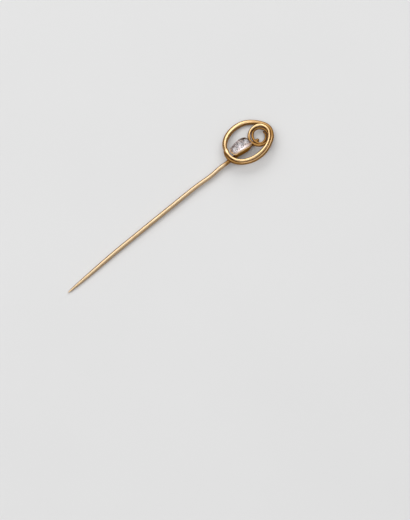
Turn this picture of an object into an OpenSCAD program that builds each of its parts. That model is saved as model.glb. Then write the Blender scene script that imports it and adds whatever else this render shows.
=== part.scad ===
/* [Pin] */
// Length over all, from the point to the far side of the head
pin_len = 64; // [62:0.1:68]
// Diameter of the stem where it is straight
stem_d = 1; // [0.9:0.05:1.1]
// Length of the tapering stretch behind the point
point_len = 16; // [14:1:18]
// Length of the bent neck between the straight stretch and the head
neck_len = 12; // [11:1:14]
// Height of the stem's line at the point
point_rise = 0.342; // [0.342:0.002:0.36]
// Angle at which the stem rises towards the head
stem_angle = 0.8; // [0.7:0.05:0.9]

/* [Head] */
// Length of the coiled head along the stem
head_len = 13.6; // [13.3:0.1:14.2]
// Height of the head's own plane where the stem meets it
head_rise = 1.112; // [1.112:0.002:1.13]
// Angle by which the head leans over to its left side, on which it rests
head_roll = 10; // [9:0.1:11]
// Angle by which the head's far end dips
head_pitch = 3; // [2.5:0.1:3.5]

/* [Bar] */
// Distance from the stem's joint to the middle of the bar
bar_at = 3.75; // [3.65:0.05:3.85]
// Distance of the bar's middle line from the stem's line
bar_side = 0.24; // [0.2:0.02:0.28]
// Height of the white plate's underside above the head's plane
plate_level = 1.56; // [1.54:0.02:1.64]
// Height of the white plate at its middle, from its underside to its rim
plate_h = 0.78; // [0.74:0.02:0.86]
// Width of the bar across its middle
bar_w = 3.24; // [3.16:0.02:3.3]
// Radius of the plate's domed top
crown_r = 7; // [6.5:0.5:9]
// Width of the gold collar round the white plate
collar_w = 0.1; // [0.08:0.01:0.12]
// Gap between the stones, the plate and the gold
gap = 0.02; // [0.01:0.005:0.03]

/* [Hidden] */
stem_r = stem_d / 2;
drawn_len = 13.6;
grow = head_len / drawn_len;
// From the joint under the coil's near side to the head's far side
joint_to_end = 13 * grow;
shaft_len = pin_len - point_len - neck_len - joint_to_end;
// From the joint to the stem's end, under the near side of the small loop
under_head = 8.6 * grow;
joint_at = point_len + shaft_len + neck_len;
// Sideways place of the straight stretch, and of the middle of the part's box
shaft_side = 0.36;
middle_side = 0.68;
// What the swept stretches of the stem reach into the straight one
overlap = 0.3;
swept_r = stem_r - 0.008;

// Sides of a wire's section, and degrees of turn between two sections
wire_sides = 14;
stem_sides = 24;
coil_step = 6;
loop_step = 10;
stem_step = 0.8;
// Middle of the oval coil, and of the small loop's eye, on the head's plane
oval = [6.1, 0.3];
eye = [9.3, -0.15];
// The oval coil, once round below and half round again above:
// angle round the oval's middle, reach from it, height, radius of the wire
COIL = [
    [138, 5.30, 0.28, 0.20],
    [164, 6.00, 0.60, 0.38],
    [196, 6.36, 0.74, 0.43],
    [232, 5.72, 0.75, 0.44],
    [270, 5.12, 0.75, 0.44],
    [306, 5.12, 0.75, 0.44],
    [336, 5.92, 0.76, 0.45],
    [362, 6.60, 0.78, 0.46],
    [388, 6.30, 0.82, 0.53],
    [418, 6.04, 0.94, 0.61],
    [455, 5.50, 1.12, 0.62],
    [490, 5.46, 1.28, 0.60],
    [512, 5.65, 1.42, 0.52],
    [526, 5.67, 1.50, 0.50],
    [535, 5.80, 1.54, 0.34],
    [560, 6.07, 1.55, 0.33],
    [576, 5.94, 1.56, 0.34],
    [596, 5.45, 1.58, 0.37],
    [630, 4.80, 1.58, 0.39],
    [664, 4.80, 1.58, 0.38],
    [700, 5.38, 1.56, 0.37]
];
// The small loop that the coil runs into, and the thinner ring within it:
// angle round the eye, reach from it, height, radius of the wire
LOOP = [
    [-36, 2.32, 1.56, 0.37],
    [10, 2.62, 1.54, 0.36],
    [48, 2.90, 1.50, 0.36],
    [90, 2.62, 1.42, 0.36],
    [130, 2.48, 1.24, 0.36],
    [175, 2.66, 1.08, 0.36],
    [228, 2.90, 0.94, 0.36],
    [270, 2.62, 0.72, 0.35],
    [310, 2.22, 0.60, 0.35],
    [350, 2.18, 0.62, 0.34],
    [390, 2.44, 0.70, 0.33],
    [424, 2.54, 0.78, 0.33],
    [470, 1.94, 0.86, 0.32],
    [510, 1.68, 0.84, 0.31],
    [550, 1.76, 0.74, 0.30],
    [595, 2.15, 0.62, 0.29],
    [622, 1.90, 0.60, 0.29],
    [650, 1.64, 0.59, 0.28],
    [675, 1.52, 0.58, 0.28],
    [700, 1.51, 0.57, 0.27],
    [722, 1.60, 0.56, 0.24],
    [740, 1.74, 0.55, 0.13]
];
// The tapering point: distance from the tip, bow to the left of the straight
// stretch, height above the stem's line, radius
POINT = [
    [0, -0.41, 0, 0.05],
    [0.3, -0.40, 0, 0.15],
    [2, -0.37, 0, 0.29],
    [6, -0.28, 0, 0.42],
    [12, -0.09, 0, swept_r],
    [point_len + overlap, 0, 0, swept_r]
];
// The neck and the stretch that carries the head: distance from the straight
// stretch's end, bow to the left, height above the stem's line, radius
NECK = [
    [-overlap, 0, 0, swept_r],
    [2, -0.06, 0, swept_r],
    [6, -0.30, 0, swept_r],
    [9, -0.20, 0, swept_r],
    [neck_len, -0.36, -0.02, 0.46],
    [neck_len + under_head / 2, -0.36, -0.32, 0.43],
    [neck_len + under_head, -0.36, -0.774, 0.40]
];
// Outline of the bar: distance from its middle, half its width as a share of
// the width at the middle, radius of the corner
BAR = [
    [-1.85, 0.39, 0.86],
    [0, 0.50, 0.92],
    [1.20, 0.54, 0.90],
    [1.86, 0.51, 0.88]
];
// The stones: distance from the middle of the bar, radius, height of the crown,
// depth of the pavilion
STONES = [
    [-1.74, 0.76, 0.29, 0.30],
    [0, 0.92, 0.35, 0.40],
    [1.76, 0.78, 0.29, 0.30]
];
girdle_h = 0.06;
table_share = 0.56;
culet_share = 0.16;
// How far the girdles, the bed round them and the collar's edge lie below the
// plate's domed top
girdle_drop = 0.1;
bed_drop = 0.12;
collar_drop = 0.14;
// Width of the raised lip round the bed
lip_w = 0.1;
// Beads of metal that hold the stones: distance from the bar's middle, to each
// side of its middle line, radius
GRAINS = [
    [-2.34, 0.60, 0.12],
    [-0.93, 0.70, 0.17],
    [0.94, 0.72, 0.17],
    [2.38, 0.66, 0.13]
];
// Height of the gold box's floor above the head's plane, and its taper
gallery_floor = 0.12;
gallery_taper = 0.8;
// How far the collar stands proud of the box's top, and reaches down its side
collar_step = 0.03;
collar_reach = 0.1;

// Slope of a table's column at one of its rows
function slope(rows, i, column) =
    let (a = max(i - 1, 0), b = min(i + 1, len(rows) - 1))
    (rows[b][column] - rows[a][column]) / (rows[b][0] - rows[a][0]);

// The last row of a table that starts before x
function row_before(rows, x, i = 0) =
    i >= len(rows) - 2 || x < rows[i + 1][0] ? i : row_before(rows, x, i + 1);

// A table's column at x, on a smooth curve through the rows
function smooth(rows, x, column) =
    let (
        i = row_before(rows, x),
        w = rows[i + 1][0] - rows[i][0],
        t = (x - rows[i][0]) / w
    )
    (2 * pow(t, 3) - 3 * pow(t, 2) + 1) * rows[i][column]
    + (pow(t, 3) - 2 * pow(t, 2) + t) * w * slope(rows, i, column)
    + (3 * pow(t, 2) - 2 * pow(t, 3)) * rows[i + 1][column]
    + (pow(t, 3) - pow(t, 2)) * w * slope(rows, i + 1, column);

// Even steps through a table, from its first row to its last
function steps(rows, step) =
    let (a = rows[0][0], b = rows[len(rows) - 1][0], n = ceil((b - a) / step))
    [for (i = [0 : n]) a + (b - a) * i / n];

// Points of a wire wound round a middle, each with the wire's radius last
function wound(rows, middle, step) = [
    for (a = steps(rows, step))
        let (reach = smooth(rows, a, 1))
        [
            (middle.x + reach * cos(a)) * grow,
            (middle.y + reach * sin(a)) * grow,
            smooth(rows, a, 2),
            smooth(rows, a, 3)
        ]
];

// Points of a stretch of the stem, each with its radius last
function run(rows, step) = [
    for (x = steps(rows, step))
        [x, smooth(rows, x, 1), smooth(rows, x, 2), smooth(rows, x, 3)]
];

function place(p) = [p[0], p[1], p[2]];

function unit(v) = v / norm(v);

// One round section of a wire, square to its path
function section(path, i, sides) =
    let (
        last = len(path) - 1,
        ahead = unit(place(path[min(i + 1, last)]) - place(path[max(i - 1, 0)])),
        side = unit(cross([0, 0, 1], ahead)),
        top = cross(ahead, side)
    )
    [for (k = [0 : sides - 1])
        place(path[i]) + path[i][3] * (cos(360 * k / sides) * side + sin(360 * k / sides) * top)];

// A solid wire along a path of points and radii
module wire(path, sides) {
    last = len(path) - 1;
    points = [for (i = [0 : last]) each section(path, i, sides)];
    walls = [
        for (i = [0 : last - 1], k = [0 : sides - 1])
            let (
                a = i * sides + k,
                b = i * sides + (k + 1) % sides
            )
            each [[a, b + sides, b], [a, a + sides, b + sides]]
    ];
    near_end = [for (k = [0 : sides - 1]) k];
    far_end = [for (k = [sides - 1 : -1 : 0]) last * sides + k];
    polyhedron(points, concat([near_end], walls, [far_end]));
}

// From the stem's own line to the part's frame
module on_stem() {
    translate([-pin_len / 2, shaft_side - middle_side, point_rise])
        rotate([0, -stem_angle, 0])
            children();
}

// From the head's own plane to the part's frame
module on_head() {
    translate([joint_at - pin_len / 2, -middle_side, head_rise])
        rotate([-head_roll, head_pitch, 0])
            children();
}

// From a stone's place on the plate's curved top to the head's plane
module on_crown(distance) {
    translate([bar_at, bar_side, plate_level + plate_h - crown_r])
        rotate([0, asin(distance / crown_r), 0])
            translate([0, 0, crown_r])
                children();
}

module coil() {
    loop = wound(LOOP, eye, loop_step);
    wire(
        concat(wound(COIL, oval, coil_step), [for (i = [1 : len(loop) - 1]) loop[i]]),
        wire_sides
    );
}

// Outline of the bar, or a smaller one at a distance within it
module bar_outline(inset = 0) {
    hull()
        for (row = BAR, side = [-1, 1])
            translate([row[0], side * (row[1] * bar_w - row[2])])
                circle(row[2] - inset, $fn = 32);
}

// A flat shape raised from a base to a surface parallel to the plate's dome
module domed(base, drop) {
    intersection() {
        translate([bar_at, bar_side, base])
            linear_extrude(plate_level + plate_h - base)
                children();
        translate([bar_at, bar_side, plate_level + plate_h - crown_r])
            sphere(crown_r - drop, $fn = 180);
    }
}

// Gold box that carries the white plate on the stem, and the collar, a band
// round the top of the box and the plate
module gallery() {
    top = plate_level - gap;
    translate([bar_at, bar_side, top])
        mirror([0, 0, 1])
            linear_extrude(top - gallery_floor, scale = gallery_taper)
                bar_outline(collar_step);
    domed(top - collar_reach, collar_drop) difference() {
        bar_outline();
        bar_outline(collar_w);
    }
}

module straight_stretch() {
    translate([point_len, 0, 0])
        rotate([0, 90, 0])
            cylinder(h = shaft_len, r = stem_r, $fn = 96);
}

module neck() {
    translate([point_len + shaft_len, 0, 0])
        wire(run(NECK, stem_step), stem_sides);
}

module gold_pin() {
    color([0.83, 0.66, 0.36]) {
        on_stem() {
            wire(run(POINT, stem_step), stem_sides);
            straight_stretch();
            neck();
        }
        on_head() {
            coil();
            gallery();
        }
    }
}

// Room for a stone: a cone under its girdle, and a straight way up
module seat(stone) {
    on_crown(stone[0])
        translate([0, 0, -girdle_drop - girdle_h / 2]) {
            translate([0, 0, -stone[3] - gap])
                cylinder(
                    h = stone[3] + gap,
                    r1 = stone[1] * culet_share + gap,
                    r2 = stone[1] + gap,
                    $fn = 48
                );
            cylinder(h = 1, r = stone[1] + gap, $fn = 48);
        }
}

// A bead on the plate's bed, between two stones
module grain(row, side) {
    on_crown(row[0])
        translate([0, side * row[1], -bed_drop])
            sphere(row[2], $fn = 24);
}

module white_setting() {
    edge = collar_w + gap;
    color([0.86, 0.85, 0.84]) on_head() difference() {
        union() {
            domed(plate_level, bed_drop) bar_outline(edge);
            domed(plate_level, 0) difference() {
                bar_outline(edge);
                bar_outline(edge + lip_w);
            }
            for (row = GRAINS, side = [-1, 1]) grain(row, side);
        }
        for (stone = STONES) seat(stone);
    }
}

// Old cut with an eight-sided table, a sixteen-sided girdle and an open culet
module cut_stone(radius, crown, pavilion) {
    rings = [
        [8, 22.5, radius * culet_share, -pavilion - girdle_h / 2],
        [16, 0, radius, -girdle_h / 2],
        [16, 0, radius, girdle_h / 2],
        [8, 22.5, radius * table_share, crown + girdle_h / 2]
    ];
    points = [
        for (ring = rings, k = [0 : ring[0] - 1])
            let (a = ring[1] + 360 * k / ring[0])
            [ring[2] * cos(a), ring[2] * sin(a), ring[3]]
    ];
    culet = 0;
    lower = 8;
    upper = 24;
    table = 40;
    pavilion_facets = [
        for (k = [0 : 7])
            let (g = 2 * k, h = 2 * k + 1, j = (2 * k + 2) % 16, m = (k + 1) % 8)
            each [
                [culet + k, lower + g, lower + h],
                [culet + k, lower + h, lower + j],
                [culet + k, lower + j, culet + m]
            ]
    ];
    girdle_facets = [
        for (k = [0 : 15])
            [lower + k, upper + k, upper + (k + 1) % 16, lower + (k + 1) % 16]
    ];
    crown_facets = [
        for (k = [0 : 7])
            let (g = 2 * k, h = 2 * k + 1, j = (2 * k + 2) % 16, m = (k + 1) % 8)
            each [
                [table + k, upper + h, upper + g],
                [table + k, upper + j, upper + h],
                [table + k, table + m, upper + j]
            ]
    ];
    polyhedron(points, concat(
        [[for (k = [0 : 7]) culet + k]],
        pavilion_facets,
        girdle_facets,
        crown_facets,
        [[for (k = [7 : -1 : 0]) table + k]]
    ));
}

module diamond(i) {
    stone = STONES[i];
    color([0.88, 0.89, 0.93])
        on_head()
            on_crown(stone[0])
                translate([0, 0, -girdle_drop])
                    cut_stone(stone[1], stone[2], stone[3]);
}

gold_pin();
white_setting();
diamond(0);  // diamond_1
diamond(1);  // diamond_2
diamond(2);  // diamond_3
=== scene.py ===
"""A gold cravat pin: a coiled wire head on a plain pointed stem, and in the head
a short bar with three old-cut diamonds."""

import bmesh
import bpy
import numpy as np
from mathutils import Matrix, Vector, noise


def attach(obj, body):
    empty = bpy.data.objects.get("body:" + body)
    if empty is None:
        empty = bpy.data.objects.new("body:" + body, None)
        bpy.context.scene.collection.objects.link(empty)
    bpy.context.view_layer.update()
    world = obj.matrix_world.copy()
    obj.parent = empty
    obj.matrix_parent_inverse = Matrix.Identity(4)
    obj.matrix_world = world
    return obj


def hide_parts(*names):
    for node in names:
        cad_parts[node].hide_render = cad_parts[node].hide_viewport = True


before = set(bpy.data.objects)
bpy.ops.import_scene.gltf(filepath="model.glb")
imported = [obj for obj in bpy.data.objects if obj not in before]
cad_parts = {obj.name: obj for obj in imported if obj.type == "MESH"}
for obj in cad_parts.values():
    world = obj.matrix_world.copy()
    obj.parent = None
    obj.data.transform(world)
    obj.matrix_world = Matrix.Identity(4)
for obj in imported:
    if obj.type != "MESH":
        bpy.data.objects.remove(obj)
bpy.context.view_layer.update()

MM = 0.001  # shapes are made in millimetres and scaled to metres at the end
rad = np.radians

# ---- Shape of the pin, the same named sizes and tables as the CAD source ----
# Lengths along the stem: the tapering point, the straight stretch, the bent
# neck, and from the joint under the coil's near side to the head's far side
POINT_LEN = 16
SHAFT_LEN = 23
NECK_LEN = 12
JOINT_TO_END = 13
JOINT_AT = POINT_LEN + SHAFT_LEN + NECK_LEN
PIN_LEN = JOINT_AT + JOINT_TO_END
STEM_R = 0.5
POINT_RISE = 0.342  # height of the stem's line at the point
STEM_ANGLE = 0.8  # by which the stem rises towards the head
SHAFT_SIDE = 0.36  # sideways place of the straight stretch
MIDDLE_SIDE = 0.68  # sideways place of the middle of the part's box
HEAD_RISE = 1.112  # height of the head's own plane at the joint
HEAD_ROLL = 10  # by which the head leans over to its left side
HEAD_PITCH = 3  # by which the head's far end dips
OVAL = (6.1, 0.3)  # middle of the oval coil, on the head's plane
EYE = (9.3, -0.15)  # middle of the small loop
# angle round the oval's middle, reach from it, height, radius of the wire
COIL = [
    (138, 5.30, 0.28, 0.20), (164, 6.00, 0.60, 0.38), (196, 6.36, 0.74, 0.43),
    (232, 5.72, 0.75, 0.44), (270, 5.12, 0.75, 0.44), (306, 5.12, 0.75, 0.44),
    (336, 5.92, 0.76, 0.45), (362, 6.60, 0.78, 0.46), (388, 6.30, 0.82, 0.53),
    (418, 6.04, 0.94, 0.61), (455, 5.50, 1.12, 0.62), (490, 5.46, 1.28, 0.60),
    (512, 5.65, 1.42, 0.52), (526, 5.67, 1.50, 0.50), (535, 5.80, 1.54, 0.34),
    (560, 6.07, 1.55, 0.33), (576, 5.94, 1.56, 0.34), (596, 5.45, 1.58, 0.37),
    (630, 4.80, 1.58, 0.39), (664, 4.80, 1.58, 0.38), (700, 5.38, 1.56, 0.37),
]
# angle round the eye of the small loop, reach from it, height, radius of the wire
LOOP = [
    (-36, 2.32, 1.56, 0.37), (10, 2.62, 1.54, 0.36), (48, 2.90, 1.50, 0.36),
    (90, 2.62, 1.42, 0.36), (130, 2.48, 1.24, 0.36), (175, 2.66, 1.08, 0.36),
    (228, 2.90, 0.94, 0.36), (270, 2.62, 0.72, 0.35), (310, 2.22, 0.60, 0.35),
    (350, 2.18, 0.62, 0.34), (390, 2.44, 0.70, 0.33), (424, 2.54, 0.78, 0.33),
    (470, 1.94, 0.86, 0.32), (510, 1.68, 0.84, 0.31), (550, 1.76, 0.74, 0.30),
    (595, 2.15, 0.62, 0.29), (622, 1.90, 0.60, 0.29), (650, 1.64, 0.59, 0.28),
    (675, 1.52, 0.58, 0.28), (700, 1.51, 0.57, 0.27), (722, 1.60, 0.56, 0.24),
    (740, 1.74, 0.55, 0.13),
]
# distance from the point, bow to the left, height above the stem's line, radius
STEM = [
    (0, -0.41, 0, 0.05), (0.3, -0.40, 0, 0.15), (2, -0.37, 0, 0.29),
    (6, -0.28, 0, 0.42), (12, -0.09, 0, 0.492), (16, 0, 0, STEM_R),
    (39, 0, 0, STEM_R), (41, -0.06, 0, 0.494), (45, -0.30, 0, 0.492),
    (48, -0.20, 0, 0.490), (51, -0.36, -0.02, 0.46), (55.3, -0.36, -0.32, 0.43),
    (59.6, -0.36, -0.774, 0.40),
]
# distance from the middle of the bar, half-width as a share of the width, radius of the corner
BAR = [(-1.85, 0.39, 0.86), (0, 0.50, 0.92), (1.20, 0.54, 0.90), (1.86, 0.51, 0.88)]
BAR_AT = 3.75  # from the stem's joint to the middle of the bar
BAR_SIDE = 0.24  # from the stem's line to the bar's middle line
BAR_W = 3.24
PLATE_LEVEL = 1.56  # height of the white plate's underside above the head's plane
PLATE_H = 0.78
CROWN_R = 7  # radius of the plate's domed top
GAP = 0.02  # between the stones, the plate and the gold
COLLAR_W = 0.1
COLLAR_DROP = 0.14  # by which the collar's edge lies below the dome
COLLAR_STEP = 0.03  # by which the collar stands proud of the box's top
COLLAR_REACH = 0.1  # by which the collar reaches down the box's side
PLATE_EDGE = COLLAR_W + GAP
LIP_W = 0.1
BED_DROP = 0.12  # by which the bed round the stones lies below the dome
BOX_FLOOR = 0.12
BOX_TAPER = 0.8
# distance from the middle of the bar, radius, height of the crown, depth of the pavilion
STONES = [(-1.74, 0.76, 0.29, 0.30), (0, 0.92, 0.35, 0.40), (1.76, 0.78, 0.29, 0.30)]
GIRDLE_H = 0.06
GIRDLE_DROP = 0.1
TABLE_SHARE = 0.56
CULET_SHARE = 0.16
# distance from the middle of the bar, to each side of its middle line, radius
GRAINS = [(-2.34, 0.60, 0.12), (-0.93, 0.70, 0.17), (0.94, 0.72, 0.17), (2.38, 0.66, 0.13)]

# ---- Fineness of the visual model ----
STEM_SAMPLES = 1300
COIL_SAMPLES = 400
WIRE_SIDES = 40
WIRE_STEP = 0.14
PATH_SMOOTHING = 0.35
RADIUS_SMOOTHING = 0.14
CAP_RINGS = 6
NEIGHBOURS = 20  # steps of a wire's path on each side that count as a point's own stretch
FAR = 9.0  # stands for a distance at which nothing is near
SOLDER_REACH = 0.5  # from a joint to where its fillet of solder ends
SOLDER_RISE = SOLDER_REACH / 4
OUTLINE_SAMPLES = 2880
OUTLINE_POINTS = 240
SEAT_SIDES = 96
BEAD_SIDES = 32
# angles between faces above which an edge stays sharp
WIRE_CREASE = 60
BOX_CREASE = 40
PLATE_CREASE = 38

# ---- Wear, and painted light and shade ----
# seeds of the unevenness of the wires
STEM_SEED = 3.7
COIL_SEED = 8.1
# heights above the head's plane between which the gold turns from painted shade to bright
PAINTED_SHADE_LOW = 1.42
PAINTED_SHADE_HIGH = 1.80
# Where the gold's painted shade lifts, as if the gold stood higher: distance at which that
# starts, length over which it grows, and how high it gets
RIM = (4.0, 0.6, 0.22)
RIGHT_SIDE = (2.0, 1.5, 0.20)
# distance before the head where painted shade starts on the stem's gold, and over which it deepens
JOINT_SHADE = 2.4
JOINT_FADE = 1.2
# painted highlight: distance from its brightest place where the bar's metal is in painted
# shade, over which it turns bright, and by which that place lies nearer the stem than its middle
BAR_BRIGHT = 2.3
BAR_FADE = 1.6
BRIGHT_SHIFT = 0.3


def turned(axis, degrees):
    return Matrix.Rotation(rad(degrees), 4, axis)


def moved(x, y, z):
    return Matrix.Translation((x, y, z))


JOINT = moved(JOINT_AT - PIN_LEN / 2, -MIDDLE_SIDE, HEAD_RISE)
ON_STEM = moved(-PIN_LEN / 2, SHAFT_SIDE - MIDDLE_SIDE, POINT_RISE) @ turned("Y", -STEM_ANGLE)
ON_HEAD = JOINT @ turned("Y", HEAD_PITCH) @ turned("X", -HEAD_ROLL)
DOME_MIDDLE = PLATE_LEVEL + PLATE_H - CROWN_R  # height above the head's plane


def on_crown(distance):
    """From a place on the plate's domed top to the row frame."""
    lean = np.degrees(np.arcsin(distance / CROWN_R))
    middle = ON_HEAD @ moved(BAR_AT, BAR_SIDE, DOME_MIDDLE)
    return middle @ turned("Y", lean) @ moved(0, 0, CROWN_R)


def through(matrix, points):
    """Points moved by a 4 x 4 matrix."""
    m = np.array(matrix)
    return np.asarray(points) @ m[:3, :3].T + m[:3, 3]


def lengths(points):
    """Distance from the first of a line of points to each, along the line."""
    steps = np.linalg.norm(np.diff(points, axis=0), axis=1)
    return np.concatenate([[0], np.cumsum(steps)])


def walls(rings, sides):
    """Faces of a closed skin through rings of points, with a point beyond each end after them."""
    near_pole, far_pole, last = rings * sides, rings * sides + 1, (rings - 1) * sides
    faces = []
    for i in range(rings - 1):
        for k in range(sides):
            a, b = i * sides + k, i * sides + (k + 1) % sides
            faces.append((a, b, b + sides, a + sides))
    faces += [(near_pole, (k + 1) % sides, k) for k in range(sides)]
    faces += [(far_pole, last + k, last + (k + 1) % sides) for k in range(sides)]
    return faces


# ---- Wires ----
def smooth(rows, x):
    """All columns of a table at the places x, on a smooth curve through its rows."""
    rows = np.array(rows, float)
    at = rows[:, 0]
    last = len(rows) - 1
    spans = [(max(i - 1, 0), min(i + 1, last)) for i in range(len(rows))]
    slopes = np.array([(rows[b] - rows[a]) / (at[b] - at[a]) for a, b in spans])
    i = np.clip(np.searchsorted(at, x, side="right") - 1, 0, last - 1)
    w = (at[i + 1] - at[i])[:, None]
    t = ((x - at[i]) / w[:, 0])[:, None]
    return (
        (2 * t**3 - 3 * t**2 + 1) * rows[i] + (t**3 - 2 * t**2 + t) * w * slopes[i]
        + (3 * t**2 - 2 * t**3) * rows[i + 1] + (t**3 - t**2) * w * slopes[i + 1]
    )


def wound(rows, middle):
    """Path of a wire wound round a middle: x, y, z and radius."""
    at = np.linspace(rows[0][0], rows[-1][0], COIL_SAMPLES)
    _, reach, height, radius = smooth(rows, at).T
    x, y = middle[0] + reach * np.cos(rad(at)), middle[1] + reach * np.sin(rad(at))
    return np.stack([x, y, height, radius], 1)


def faired(column, sigma):
    """Evenly spaced values smoothed over a length of about sigma, with their ends kept."""
    half = int(np.ceil(3 * sigma / WIRE_STEP))
    weights = np.exp(-0.5 * (np.arange(-half, half + 1) * WIRE_STEP / sigma) ** 2)
    before = 2 * column[0] - column[half:0:-1]
    after = 2 * column[-1] - column[-2:-half - 2:-1]
    return np.convolve(np.concatenate([before, column, after]), weights / weights.sum(), "valid")


def evened(path):
    """The same path with even steps, and its bends and changes of thickness faired."""
    length = lengths(path[:, :3])
    at = np.linspace(0, length[-1], int(np.ceil(length[-1] / WIRE_STEP)) + 1)
    x, y, z, radius = (np.interp(at, length, column) for column in path.T)
    thick = np.maximum(faired(radius, RADIUS_SMOOTHING), radius.min())
    return np.stack([*(faired(column, PATH_SMOOTHING) for column in (x, y, z)), thick], 1)


def along(path):
    """Direction of a path at each of its points."""
    ahead = np.gradient(path[:, :3], axis=0)
    return ahead / np.linalg.norm(ahead, axis=1)[:, None]


def hand_drawn(path, seed, amount=0.010, pace=0.55, slow_pace=0.17):
    """The path with the slight unevenness in thickness of a wire drawn and filed by hand."""
    out = path.copy()
    for i, s in enumerate(lengths(path[:, :3])):
        quick = noise.noise(Vector((s * pace, seed, 0)))
        slow = noise.noise(Vector((s * slow_pace, 0, seed)))
        out[i, 3] *= 1 + amount * quick + amount * slow
    return out


class Wire:
    """A round wire along a path in the row frame, closed by half a ball at each end."""

    def __init__(self, path, sides):
        rings = [(c[:3], t, c[3]) for c, t in zip(path, along(path))]
        turn = [rad(90 * k / (CAP_RINGS + 1)) for k in range(1, CAP_RINGS + 1)]
        (c0, t0, r0), (c1, t1, r1) = rings[0], rings[-1]
        near = [(c0 - t0 * r0 * np.sin(a), t0, r0 * np.cos(a)) for a in reversed(turn)]
        far = [(c1 + t1 * r1 * np.sin(a), t1, r1 * np.cos(a)) for a in turn]
        rings = near + rings + far
        angle = 2 * np.pi * np.arange(sides) / sides
        length = lengths([c for c, _, _ in rings])
        skin, grain, normals = [], [], []
        for (centre, t, r), s in zip(rings, length):
            side = np.cross((0, 0, 1), t)
            side /= np.linalg.norm(side)
            top = np.cross(t, side)
            out = np.cos(angle)[:, None] * side + np.sin(angle)[:, None] * top
            skin.append(centre + r * out)
            normals.append(out)
            grain.append(np.stack([np.full(sides, s), np.cos(angle) * r, np.sin(angle) * r], 1))
        self.points = np.concatenate(skin + [[c0 - t0 * r0], [c1 + t1 * r1]])
        self.normals = np.concatenate(normals + [[-t0], [t1]])
        self.grain = np.concatenate(grain + [[(0, 0, 0)], [(length[-1], 0, 0)]])
        self.faces = walls(len(rings), sides)
        self.crease = np.full(len(self.points), FAR)

    def soldered(self, distance):
        """Raises the skin into a smooth fillet of solder where another piece is near."""
        near = 1 - np.clip(distance / SOLDER_REACH, 0, 1)
        self.points += self.normals * (SOLDER_RISE * near**2)[:, None]

    def near(self, distance):
        """Notes where something else is close, for the painted shade and grime that darken such
        places.
        """
        self.crease = np.minimum(self.crease, distance)


def to_wire(points, path, own=None):
    """Distance of points from a wire's skin, leaving out the stretch round each one's own step."""
    out = np.empty(len(points))
    batch = 2000
    for start in range(0, len(points), batch):
        some = slice(start, start + batch)
        d = np.linalg.norm(points[some, None] - path[None, :, :3], axis=2) - path[None, :, 3]
        if own is not None:
            d[np.abs(own[some, None] - np.arange(len(path))[None]) < NEIGHBOURS] = FAR
        out[some] = d.min(1)
    return out


# ---- Bar ----
def bar_outline():
    """Points round the bar, from its middle on the head's plane, and their outward normals."""
    turn = np.linspace(0, 2 * np.pi, OUTLINE_SAMPLES, endpoint=False)
    outward = np.stack([np.cos(turn), np.sin(turn)], 1)
    hands = (-1, 1)
    middles = np.array([
        (x, hand * (share * BAR_W - corner)) for x, share, corner in BAR for hand in hands
    ])
    corners = np.array([corner for _, _, corner in BAR for _ in hands])
    best = (outward @ middles.T + corners).argmax(1)
    points = middles[best] + corners[best, None] * outward
    loop = np.concatenate([points, points[:1]])
    length = lengths(loop)
    at = np.linspace(0, length[-1], OUTLINE_POINTS, endpoint=False)
    both = np.concatenate([loop, np.concatenate([outward, outward[:1]])], 1)
    x, y, nx, ny = (np.interp(at, length, column) for column in both.T)
    size = np.hypot(nx, ny)
    return np.stack([x, y], 1), np.stack([nx / size, ny / size], 1)


OUTLINE, OUTWARD = bar_outline()


def dome(flat, drop):
    """Height of the plate's domed surface, or of one parallel to it, above the head's plane."""
    return DOME_MIDDLE + np.sqrt((CROWN_R - drop) ** 2 - (flat**2).sum(-1))


def ring(inset=0.0, scale=1.0, level=None, drop=None, raised=0.0):
    """The bar's outline drawn in by inset, at a level or on the dome."""
    flat = (OUTLINE - OUTWARD * inset) * scale
    height = np.full(len(flat), float(level)) if drop is None else dome(flat, drop)
    return np.stack([flat[:, 0] + BAR_AT, flat[:, 1] + BAR_SIDE, height + raised], 1)


def stacked(rings):
    """Points and faces of a closed solid through rings, from its bottom to its top."""
    points = np.concatenate(rings + [[rings[0].mean(0)], [rings[-1].mean(0)]])
    return points, walls(len(rings), len(rings[0]))


def quarter(steps=5):
    """Sines and cosines through a quarter turn, for a rounded edge."""
    a = rad(np.linspace(0, 90, steps))
    return list(zip(np.sin(a), np.cos(a)))


def between(low, high):
    """Rings up a wall from one ring to another."""
    return [low + (high - low) * share for share in (0.3, 0.6, 0.9)]


# ---- Blender objects ----
def linked(name, data):
    """A new object in the scene."""
    obj = bpy.data.objects.new(name, data)
    bpy.context.scene.collection.objects.link(obj)
    return obj


def mesh_object(name, points, faces, sharp=None, scale=1.0):
    """A new mesh in the scene, shaded smooth where an angle for its sharp edges is given."""
    mesh = bpy.data.meshes.new(name)
    mesh.from_pydata([tuple(p) for p in np.asarray(points) * scale], [], [tuple(f) for f in faces])
    mesh.validate()
    if sharp is not None:
        mesh.shade_smooth()
        mesh.set_sharp_from_angle(angle=rad(sharp))
    return linked(name, mesh)


def attribute(obj, name, values):
    """Stores a number or a vector at each point of a mesh, for its material."""
    values = np.asarray(values, np.float32)
    kind, key = ("FLOAT", "value") if values.ndim == 1 else ("FLOAT_VECTOR", "vector")
    held = obj.data.attributes.new(name, kind, "POINT")
    held.data.foreach_set(key, values.ravel())


def joined(obj, other, operation):
    """Applies a boolean with another mesh, which is then removed."""
    cut = obj.modifiers.new(operation, "BOOLEAN")
    cut.operation, cut.object, cut.solver = operation, other, "EXACT"
    evaluated = obj.evaluated_get(bpy.context.evaluated_depsgraph_get())
    mesh = bpy.data.meshes.new_from_object(evaluated)
    obj.modifiers.clear()
    old, obj.data = obj.data, mesh
    bpy.data.meshes.remove(old)
    bpy.data.objects.remove(other)
    return obj


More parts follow.
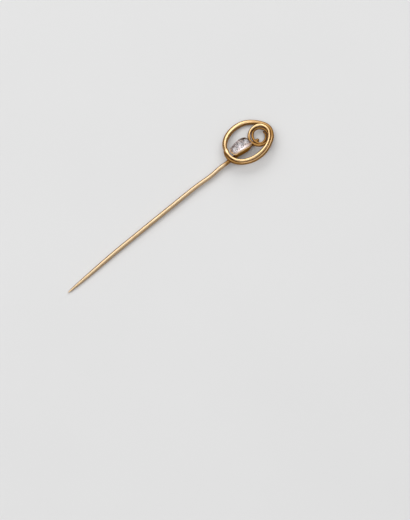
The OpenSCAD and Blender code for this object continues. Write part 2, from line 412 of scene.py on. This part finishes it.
# ---- Materials ----
class Graph:
    """Builds a material's nodes. An input is a number, a colour or another node's output."""

    def __init__(self, name):
        self.material = bpy.data.materials.new(name)
        self.material.use_nodes = True
        self.tree = self.material.node_tree
        self.shader = self.tree.nodes["Principled BSDF"]

    def set(self, node, inputs):
        for key, value in inputs.items():
            if isinstance(value, bpy.types.NodeSocket):
                self.tree.links.new(value, node.inputs[key])
            else:
                node.inputs[key].default_value = value
        return node

    def add(self, kind, inputs, **settings):
        node = self.tree.nodes.new("ShaderNode" + kind)
        for key, value in settings.items():
            setattr(node, key, value)
        return self.set(node, inputs)

    def place(self):
        """Place on the object, in millimetres."""
        return self.scaled(self.add("TexCoord", {}).outputs["Object"], (1 / MM,) * 3)

    def held(self, name, output="Fac"):
        """What the mesh holds at its points under a name."""
        return self.add("Attribute", {}, attribute_name=name).outputs[output]

    def noise(self, vector, scale, detail=3, roughness=0.55):
        inputs = {"Vector": vector, "Scale": scale, "Detail": detail, "Roughness": roughness}
        return self.add("TexNoise", inputs).outputs["Fac"]

    def spread(self, value, low, high, to_low=0.0, to_high=1.0):
        """Maps a value from one range to another, and keeps it there."""
        inputs = {"From Min": low, "From Max": high, "To Min": to_low, "To Max": to_high}
        return self.add("MapRange", {"Value": value, **inputs}).outputs["Result"]

    def sum(self, a, b):
        return self.add("Math", {0: a, 1: b}, operation="ADD").outputs[0]

    def product(self, a, b):
        return self.add("Math", {0: a, 1: b}, operation="MULTIPLY").outputs[0]

    def mix(self, share, a, b):
        return self.add("Mix", {0: share, 6: a, 7: b}, data_type="RGBA").outputs[2]

    def scaled(self, vector, scale):
        return self.add("Mapping", {"Vector": vector, "Scale": scale}).outputs[0]

    def bump(self, height, depth, normal=None):
        """Relief of a depth in millimetres, on top of another's normal if one is given."""
        inputs = {"Height": height, "Distance": depth * MM, "Strength": 1.0}
        if normal is not None:
            inputs["Normal"] = normal
        return self.add("Bump", inputs).outputs[0]

    def finished(self, inputs):
        """Gives the shader its inputs and returns the material."""
        self.set(self.shader, inputs)
        return self.material


GOLD_LIGHT = (0.95, 0.69, 0.38, 1)
GOLD_PINK = (0.93, 0.64, 0.37, 1)
GOLD_DEEP = (0.82, 0.51, 0.21, 1)
GOLD_PALE = (0.72, 0.58, 0.41, 1)
GOLD_DULL_AND_SHADED = (0.33, 0.175, 0.055, 1)
GOLD_FLANK_SHADE = (0.34, 0.17, 0.045, 1)
GOLD_SHADE_AND_GRIME = (0.10, 0.04, 0.01, 1)
GOLD_EDGE = (0.70, 0.40, 0.16, 1)  # at a glancing look


def worn_gold(name, grain, pale=0.0):
    """Polished yellow gold: bright on top, where wear also keeps it, with painted shade low
    down in the head and by the stem's joint, painted shade on flanks as they turn from the
    camera, and painted shade with grime in its creases. Grain gives it a drawn wire's lengthwise
    marks."""
    g = Graph(name)
    place = g.place()
    if grain:
        drawn = g.scaled(g.held("grain", "Vector"), (0.35, 5.0, 5.0))
    else:
        drawn = g.scaled(place, (4.0, 1.2, 4.0))
    clear = g.held("clear")
    bright = g.held("painted_light_and_wear")
    broad = g.noise(place, 0.22, 2)
    patch = g.noise(place, 0.9, 4)
    scratch = g.noise(drawn, 2.6, 6, 0.7)
    dent = g.noise(place, 1.7, 2)
    speck = g.noise(place, 9.0, 3)
    tone = g.mix(g.spread(broad, 0.35, 0.65), GOLD_LIGHT, GOLD_PINK)
    tone = g.mix(g.spread(patch, 0.40, 0.72, 0.0, 0.55), tone, GOLD_DEEP)
    tone = g.mix(g.spread(patch, 0.30, 0.70, pale, pale * 0.75), tone, GOLD_PALE)
    # painted shade low in the head and by the stem's joint, which also stands for wear keeping the
    # top bright
    tone = g.mix(bright, GOLD_DULL_AND_SHADED, tone)
    # painted shade on the flanks, growing as the surface turns from the camera
    away = g.add("LayerWeight", {"Blend": 0.5}).outputs["Facing"]
    tone = g.mix(g.spread(away, 0.12, 0.55, 0.0, 0.88), tone, GOLD_FLANK_SHADE)
    # painted shade, with grime, darkening the creases where another piece lies close
    shade_and_grime = g.product(g.spread(clear, 0.18, 0.0), g.spread(patch, 0.25, 0.6, 0.75, 1.0))
    colour = g.mix(shade_and_grime, tone, GOLD_SHADE_AND_GRIME)
    scratched = g.spread(scratch, 0.3, 0.75, 0.17, 0.33)
    shaded_and_unworn = g.spread(bright, 0.0, 1.0, 0.12, 0.0)
    haze = g.spread(speck, 0.5, 0.8, 0.0, 0.07)
    rough = g.sum(g.sum(g.sum(scratched, shaded_and_unworn), haze), g.product(shade_and_grime, 0.25))
    return g.finished({
        "Base Color": colour, "Metallic": 1.0, "Roughness": rough, "Specular Tint": GOLD_EDGE,
        "Normal": g.bump(scratch, 0.0035, g.bump(dent, 0.030)),
    })


WHITE_LIGHT = (0.76, 0.69, 0.67, 1)
WHITE_DEEP = (0.58, 0.50, 0.49, 1)
WHITE_SHADED = (0.30, 0.21, 0.16, 1)
WHITE_TARNISH = (0.16, 0.12, 0.13, 1)


def white_metal(name):
    """Bright white metal, with a painted highlight along the bar and painted shade toward its
    ends, and dark in its recesses.
    """
    g = Graph(name)
    place = g.place()
    patch = g.noise(place, 1.6, 4)
    scratch = g.noise(g.scaled(place, (1.2, 7.0, 4.0)), 2.4, 6, 0.7)
    pits = g.noise(place, 14.0, 3)
    raised = g.spread(g.add("NewGeometry", {}).outputs["Pointiness"], 0.44, 0.52)
    tone = g.mix(g.spread(patch, 0.35, 0.7), WHITE_LIGHT, WHITE_DEEP)
    # painted highlight along the bar, with painted shade toward its ends
    tone = g.mix(g.held("painted_light_and_wear"), WHITE_SHADED, tone)
    colour = g.mix(raised, WHITE_TARNISH, tone)
    rough = g.sum(g.spread(scratch, 0.3, 0.75, 0.14, 0.32), g.spread(pits, 0.5, 0.8, 0.0, 0.08))
    return g.finished({
        "Base Color": colour, "Metallic": 1.0, "Roughness": rough,
        "Normal": g.bump(scratch, 0.003, g.bump(pits, 0.004)),
    })


STONE_CLEAR = (0.84, 0.77, 0.82, 1)
STONE_WARM = (0.88, 0.80, 0.76, 1)
DIAMOND_IOR = 2.417
FLOOR_DEEP = (0.67, 0.67, 0.67, 1)
FLOOR_LIGHT = (0.70, 0.70, 0.70, 1)


def old_diamond(name):
    """Clear stone with a trace of warmth, and facet faces dulled a little by wear."""
    g = Graph(name)
    place = g.place()
    cloud = g.noise(place, 1.1, 3)
    rub = g.noise(g.scaled(place, (3.0, 9.0, 5.0)), 3.0, 5, 0.7)
    colour = g.mix(g.spread(cloud, 0.35, 0.7), STONE_CLEAR, STONE_WARM)
    rough = g.spread(rub, 0.45, 0.85, 0.02, 0.09)
    return g.finished({
        "Base Color": colour, "Metallic": 0.0, "Roughness": rough, "IOR": DIAMOND_IOR,
        "Transmission Weight": 0.82, "Normal": g.bump(rub, 0.0004),
    })


def pale_floor(name):
    """Plain matt grey."""
    g = Graph(name)
    tone = g.mix(g.noise(g.place(), 0.02, 3), FLOOR_DEEP, FLOOR_LIGHT)
    return g.finished({"Base Color": tone, "Roughness": 0.75, "Specular IOR Level": 0.2})


# ---- Gold ----
def painted_light_and_wear(skin):
    """How bright the gold is kept, as painted shade and wear together: fully on the free
    stem and the head's top and rim, with painted shade down inside the head and on the stem by its
    joint."""
    x, y, z = through(ON_HEAD.inverted(), skin).T
    from_middle = np.hypot(x - OVAL[0], y - OVAL[1])
    for distance, (start, length, rise) in ((from_middle, RIM), (-y, RIGHT_SIDE)):
        z = z + rise * np.clip((distance - start) / length, 0, 1)
    inside = np.clip((x + JOINT_SHADE) / JOINT_FADE, 0, 1)
    return 1 - inside * (1 - np.clip((z - PAINTED_SHADE_LOW) / (PAINTED_SHADE_HIGH - PAINTED_SHADE_LOW), 0, 1))


stem_path = evened(smooth(STEM, np.linspace(0, STEM[-1][0], STEM_SAMPLES)))
stem_path[:, :3] = through(ON_STEM, stem_path[:, :3])
coil_path = evened(np.concatenate([wound(COIL, OVAL), wound(LOOP, EYE)[1:]]))
coil_path[:, :3] = through(ON_HEAD, coil_path[:, :3])

stem = Wire(hand_drawn(stem_path, STEM_SEED), WIRE_SIDES)
coil = Wire(hand_drawn(coil_path, COIL_SEED), WIRE_SIDES)

own_step = np.clip(np.arange(len(coil.points)) // WIRE_SIDES - CAP_RINGS, 0, len(coil_path) - 1)
coil.near(to_wire(coil.points, coil_path, own_step))
stem_to_coil = to_wire(stem.points, coil_path)
coil_to_stem = to_wire(coil.points, stem_path)
stem.near(stem_to_coil)
coil.near(coil_to_stem)
stem.soldered(stem_to_coil)
coil.soldered(coil_to_stem)


def box_rings():
    """The gold box: straight tapering walls with softened edges, and the collar, a
    band round its top and the plate."""
    seat_level, edge, rim = PLATE_LEVEL - GAP, 0.07, 0.03
    height = seat_level - BOX_FLOOR
    under_collar, collar = seat_level - COLLAR_REACH, COLLAR_DROP
    rings = [ring(COLLAR_STEP + edge, s * BOX_TAPER, BOX_FLOOR) for s in (0.15, 0.4, 0.65, 0.85)]
    for s, c in quarter():
        rings.append(ring(COLLAR_STEP + edge * (1 - s), BOX_TAPER, BOX_FLOOR + edge * (1 - c)))
    for s in np.linspace(0.08, 1 - COLLAR_REACH / height, 14):
        rings.append(ring(COLLAR_STEP, BOX_TAPER + (1 - BOX_TAPER) * s, BOX_FLOOR + height * s))
    rings += [ring(rim * (1 - s), level=under_collar + rim * (1 - c)) for s, c in quarter()]
    rings += between(ring(level=seat_level), ring(drop=collar, raised=-rim))
    rings += [ring(rim * (1 - c), drop=collar, raised=-rim * (1 - s)) for s, c in quarter()]
    for s, c in quarter():
        rings.append(ring(COLLAR_W - rim * (1 - s), drop=collar, raised=-rim * (1 - c)))
    rings += [ring(COLLAR_W, s, seat_level) for s in (1, 0.7, 0.35, 0.1)]
    return rings


points, faces = stacked(box_rings())
box_points = through(ON_HEAD, points)

gold_stem = mesh_object("stem", stem.points, stem.faces, WIRE_CREASE, MM)
gold_coil = mesh_object("coil", coil.points, coil.faces, WIRE_CREASE, MM)
gold_box = mesh_object("bar_box", box_points, faces, BOX_CREASE, MM)
box_clear = np.minimum(to_wire(box_points, stem_path), to_wire(box_points, coil_path))
for obj, clear, skin in (
    (gold_stem, stem.crease, stem.points),
    (gold_coil, coil.crease, coil.points),
    (gold_box, box_clear, box_points),
):
    attribute(obj, "clear", clear)
    attribute(obj, "painted_light_and_wear", painted_light_and_wear(skin))
attribute(gold_stem, "grain", stem.grain)
attribute(gold_coil, "grain", coil.grain)


# ---- White setting ----
def plate_rings():
    """The plate from its flat bottom, up its wall, over the raised lip and down to the
    bed for the stones."""
    level, wall, lip, bed = PLATE_LEVEL, PLATE_EDGE, PLATE_EDGE + LIP_W, BED_DROP
    edge, cove = 0.035, 0.025
    rings = [ring(wall + edge, s, level) for s in (0.15, 0.45, 0.75, 0.95)]
    rings += [ring(wall + edge * (1 - s), 1, level + edge * (1 - c)) for s, c in quarter()]
    rings += between(ring(wall, 1, level + edge), ring(wall, drop=0, raised=-edge))
    rings += [ring(wall + edge * (1 - c), drop=0, raised=-edge * (1 - s)) for s, c in quarter()]
    rings += [ring(lip - cove * (1 - s), drop=0, raised=-cove * (1 - c)) for s, c in quarter()]
    rings += [ring(lip + cove * (1 - c), drop=bed, raised=cove * (1 - s)) for s, c in quarter()]
    rings += [ring(lip + cove, s, drop=bed) for s in np.linspace(0.96, 0.04, 24)]
    return rings


def revolved(profile, sides):
    """Points and faces of a closed turned shape, from a profile of radius and height."""
    a = 2 * np.pi * np.arange(sides) / sides
    x, y = np.cos(a), np.sin(a)
    return stacked([np.stack([r * x, r * y, np.full(sides, z)], 1) for r, z in profile])


def seat(stone):
    """What a stone's seat takes out of the plate: a cone, a straight way up and a
    bright-cut edge."""
    distance, radius, _, pavilion = stone
    under = -GIRDLE_DROP - GIRDLE_H / 2
    cut_w, cut_h, above = 0.05, 0.03, 1
    hole = radius + GAP
    points, faces = revolved([
        (radius * CULET_SHARE + GAP, under - pavilion - GAP), (hole, under),
        (hole, -BED_DROP - cut_h), (hole + cut_w, -BED_DROP + cut_h), (hole + cut_w, above),
    ], SEAT_SIDES)
    return mesh_object("seat_cut", through(on_crown(distance), points), faces)


def bead(distance, side, radius):
    """A small rounded bead of metal, raised from the bed to hold a stone."""
    height, lift = 1.15, 0.1  # as shares of its radius
    profile = [
        (radius * np.cos(t), radius * (height * np.sin(t) + lift))
        for t in rad(np.linspace(-88, 88, 16))
    ]
    points, faces = revolved(profile, BEAD_SIDES)
    bed = on_crown(distance) @ moved(0, side, -BED_DROP)
    return mesh_object("bead", through(bed, points), faces)


points, faces = stacked(plate_rings())
plate = mesh_object("bar_plate", through(ON_HEAD, points), faces)
for stone in STONES:
    joined(plate, seat(stone), "DIFFERENCE")
for distance, side, radius in GRAINS:
    for hand in (-1, 1):
        joined(plate, bead(distance, hand * side, radius), "UNION")
plate_x = through(ON_HEAD.inverted(), np.array([v.co for v in plate.data.vertices]))[:, 0]
# brightest near the bar's middle: a painted highlight, fading to painted shade
from_brightest = abs(plate_x - BAR_AT + BRIGHT_SHIFT)
attribute(plate, "painted_light_and_wear", np.clip((BAR_BRIGHT - from_brightest) / BAR_FADE, 0, 1))
plate.data.transform(Matrix.Scale(MM, 4))
plate.data.shade_smooth()
plate.data.set_sharp_from_angle(angle=rad(PLATE_CREASE))


# ---- Stones ----
def height_in_plane(a, b, c, x, y):
    """Height at x, y of the plane through three points."""
    n = np.cross(np.subtract(b, a), np.subtract(c, a))
    return a[2] - (n[0] * (x - a[0]) + n[1] * (y - a[1])) / n[2]


def old_cut(radius, crown, pavilion):
    """Facets of an old European cut, each a list of points: a small table on a high
    crown, eight mains above and below, short lower facets and an open culet."""
    half = GIRDLE_H / 2
    star, junction = radius * 0.76, radius * 0.46
    table, culet = radius * TABLE_SHARE, radius * CULET_SHARE
    eighth = 45
    slant = np.cos(rad(eighth / 2))

    def at(degrees, reach, z):
        return (reach * np.cos(rad(degrees)), reach * np.sin(rad(degrees)), z)

    def on_crown_main(u):
        return half + crown * (radius - u) / (radius - table)

    def on_pavilion_main(u):
        return -half - pavilion * (radius - u) / (radius - culet * slant)

    facets, upper, lower = [], [], []
    main = [eighth / 2 + eighth * k for k in range(8)]
    halfway = [a + eighth / 2 for a in main]
    tops = [at(a, table, half + crown) for a in main]
    stars = [at(a, star, on_crown_main(star * slant)) for a in halfway]
    culets = [at(a, culet, -half - pavilion) for a in halfway]
    joints = [at(a, junction, on_pavilion_main(junction * slant)) for a in halfway]
    for k, a in enumerate(main):
        corner, middle, following = (at(a + eighth * s, radius, half) for s in (0, 0.5, 1))
        q1, q2 = (at(a + eighth * s, radius, 0) for s in (0.25, 0.75))
        q1 = (*q1[:2], height_in_plane(corner, stars[k], middle, *q1[:2]))
        q2 = (*q2[:2], height_in_plane(middle, stars[k], following, *q2[:2]))
        upper += [corner, q1, middle, q2]
        facets.append([corner, q1, middle, stars[k]])
        facets.append([middle, q2, following, stars[k]])
        facets.append([tops[k], stars[k], tops[(k + 1) % 8]])
        facets.append([tops[k], stars[k - 1], corner, stars[k]])
        low, low_middle, low_following = ((*p[:2], -half) for p in (corner, middle, following))
        p1 = (*q1[:2], height_in_plane(low, joints[k], low_middle, *q1[:2]))
        p2 = (*q2[:2], height_in_plane(low_middle, joints[k], low_following, *q2[:2]))
        lower += [low, p1, low_middle, p2]
        facets.append([low_middle, p1, low, joints[k]])
        facets.append([low_following, p2, low_middle, joints[k]])
        facets.append([culets[k - 1], culets[k], joints[k], low, joints[k - 1]])
    for i in range(len(upper)):
        j = (i + 1) % len(upper)
        facets.append([upper[i], lower[i], lower[j], upper[j]])
    facets += [tops, culets[::-1]]
    return facets


def stone_object(name, stone):
    """A stone in its seat on the plate's dome."""
    distance, radius, crown, pavilion = stone
    place = on_crown(distance) @ moved(0, 0, -GIRDLE_DROP)
    bm = bmesh.new()
    for facet in old_cut(radius, crown, pavilion):
        bm.faces.new([bm.verts.new(p) for p in facet])
    bmesh.ops.remove_doubles(bm, verts=bm.verts, dist=1e-4)
    bmesh.ops.recalc_face_normals(bm, faces=bm.faces)
    bmesh.ops.transform(bm, matrix=Matrix.Scale(MM, 4) @ place, verts=bm.verts)
    mesh = bpy.data.meshes.new(name)
    bm.to_mesh(mesh)
    bm.free()
    return linked(name, mesh)


stones = [stone_object(f"stone_{i + 1}", stone) for i, stone in enumerate(STONES)]

# ---- Materials and bodies ----
gold = worn_gold("worn_gold", grain=True)
stem_gold = worn_gold("worn_gold_stem", grain=True, pale=0.6)
box_gold = worn_gold("worn_gold_box", grain=False)
for obj, look in ((gold_stem, stem_gold), (gold_coil, gold), (gold_box, box_gold)):
    obj.data.materials.append(look)
    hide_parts("gold_pin")
    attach(obj, "root")
plate.data.materials.append(white_metal("white_metal"))
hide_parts("white_setting")
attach(plate, "root")
clear_stone = old_diamond("old_diamond")
for i, obj in enumerate(stones):
    obj.data.materials.append(clear_stone)
    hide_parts(f"diamond_{i + 1}")
    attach(obj, "root")

# ---- Floor, lights and camera ----
# Camera of the photograph: its elevation, its direction across the floor and its roll
CAM_ELEVATION = 61.5
CAM_TURN = 35.5
CAM_ROLL = 6.8
PX_PER_MM = 4.24
LENS_MM = 600
SENSOR_MM = 36
FRAME_PX = 520  # the photograph's longer side
AIM = (-2.69, -16.13, 0.0)  # what the middle of the picture looks at, in millimetres
CAM_NEARER = 7  # brings the pin, which lies farther away than the aim, to that scale
FLOOR_HALF = 3000
FLOOR_LINES = 13
WORLD_GLOW = 0.12
# name, direction over the floor from the picture's top turning right, elevation,
# distance, side of the square and glow
SOFTBOXES = [
    ("overhead", 180, 82, 0.75, 2.1, 0.68),
    ("key", 180, 64, 0.8, 0.46, 1.5),
    ("rear", 10, 44, 0.9, 0.9, 1.5),
    ("left", 288, 47, 0.9, 0.7, 1.2),
]

across = Vector((np.cos(rad(CAM_TURN)), -np.sin(rad(CAM_TURN)), 0))
away = Vector((np.sin(rad(CAM_TURN)), np.cos(rad(CAM_TURN)), 0))
up = away * np.sin(rad(CAM_ELEVATION)) + Vector((0, 0, np.cos(rad(CAM_ELEVATION))))
right = across * np.cos(rad(CAM_ROLL)) - up * np.sin(rad(CAM_ROLL))
top = across * np.sin(rad(CAM_ROLL)) + up * np.cos(rad(CAM_ROLL))
back = right.cross(top)
distance = LENS_MM / SENSOR_MM * FRAME_PX / PX_PER_MM - CAM_NEARER
stands = (Vector(AIM) + back * distance) * MM
looks = Matrix([(right[i], top[i], back[i]) for i in range(3)])

camera = linked("camera", bpy.data.cameras.new("camera"))
camera.data.lens = LENS_MM
camera.data.sensor_width = SENSOR_MM
camera.data.clip_start, camera.data.clip_end = 0.01, 20
camera.matrix_world = Matrix.Translation(stands) @ looks.to_4x4()
bpy.context.scene.camera = camera

span = np.linspace(-FLOOR_HALF, FLOOR_HALF, FLOOR_LINES)
floor_points = [(x, y, 0) for y in span for x in span]
starts = [j * FLOOR_LINES + i for j in range(FLOOR_LINES - 1) for i in range(FLOOR_LINES - 1)]
floor_faces = [(a, a + 1, a + FLOOR_LINES + 1, a + FLOOR_LINES) for a in starts]
floor = mesh_object("floor", floor_points, floor_faces, scale=MM)
floor.data.materials.append(pale_floor("pale_floor"))


def softbox(name, toward, elevation, reach, size, glow):
    """A square soft light aimed at the pin."""
    data = bpy.data.lights.new(name, "AREA")
    data.shape, data.size, data.size_y = "RECTANGLE", size, size
    data.energy = glow * np.pi * size * size
    light = linked(name, data)
    flat = Vector((top.x, top.y, 0)).normalized()
    flat.rotate(Matrix.Rotation(rad(-toward), 3, "Z"))
    direction = flat * np.cos(rad(elevation)) + Vector((0, 0, np.sin(rad(elevation))))
    light.location = direction * reach
    light.rotation_mode = "QUATERNION"
    light.rotation_quaternion = direction.to_track_quat("Z", "Y")


for row in SOFTBOXES:
    softbox(*row)
world = bpy.data.worlds.new("studio")
world.use_nodes = True
sky = world.node_tree.nodes["Background"].inputs
sky["Color"].default_value = (1, 1, 1, 1)
sky["Strength"].default_value = WORLD_GLOW
bpy.context.scene.world = world
bpy.context.scene.view_settings.view_transform = "Standard"
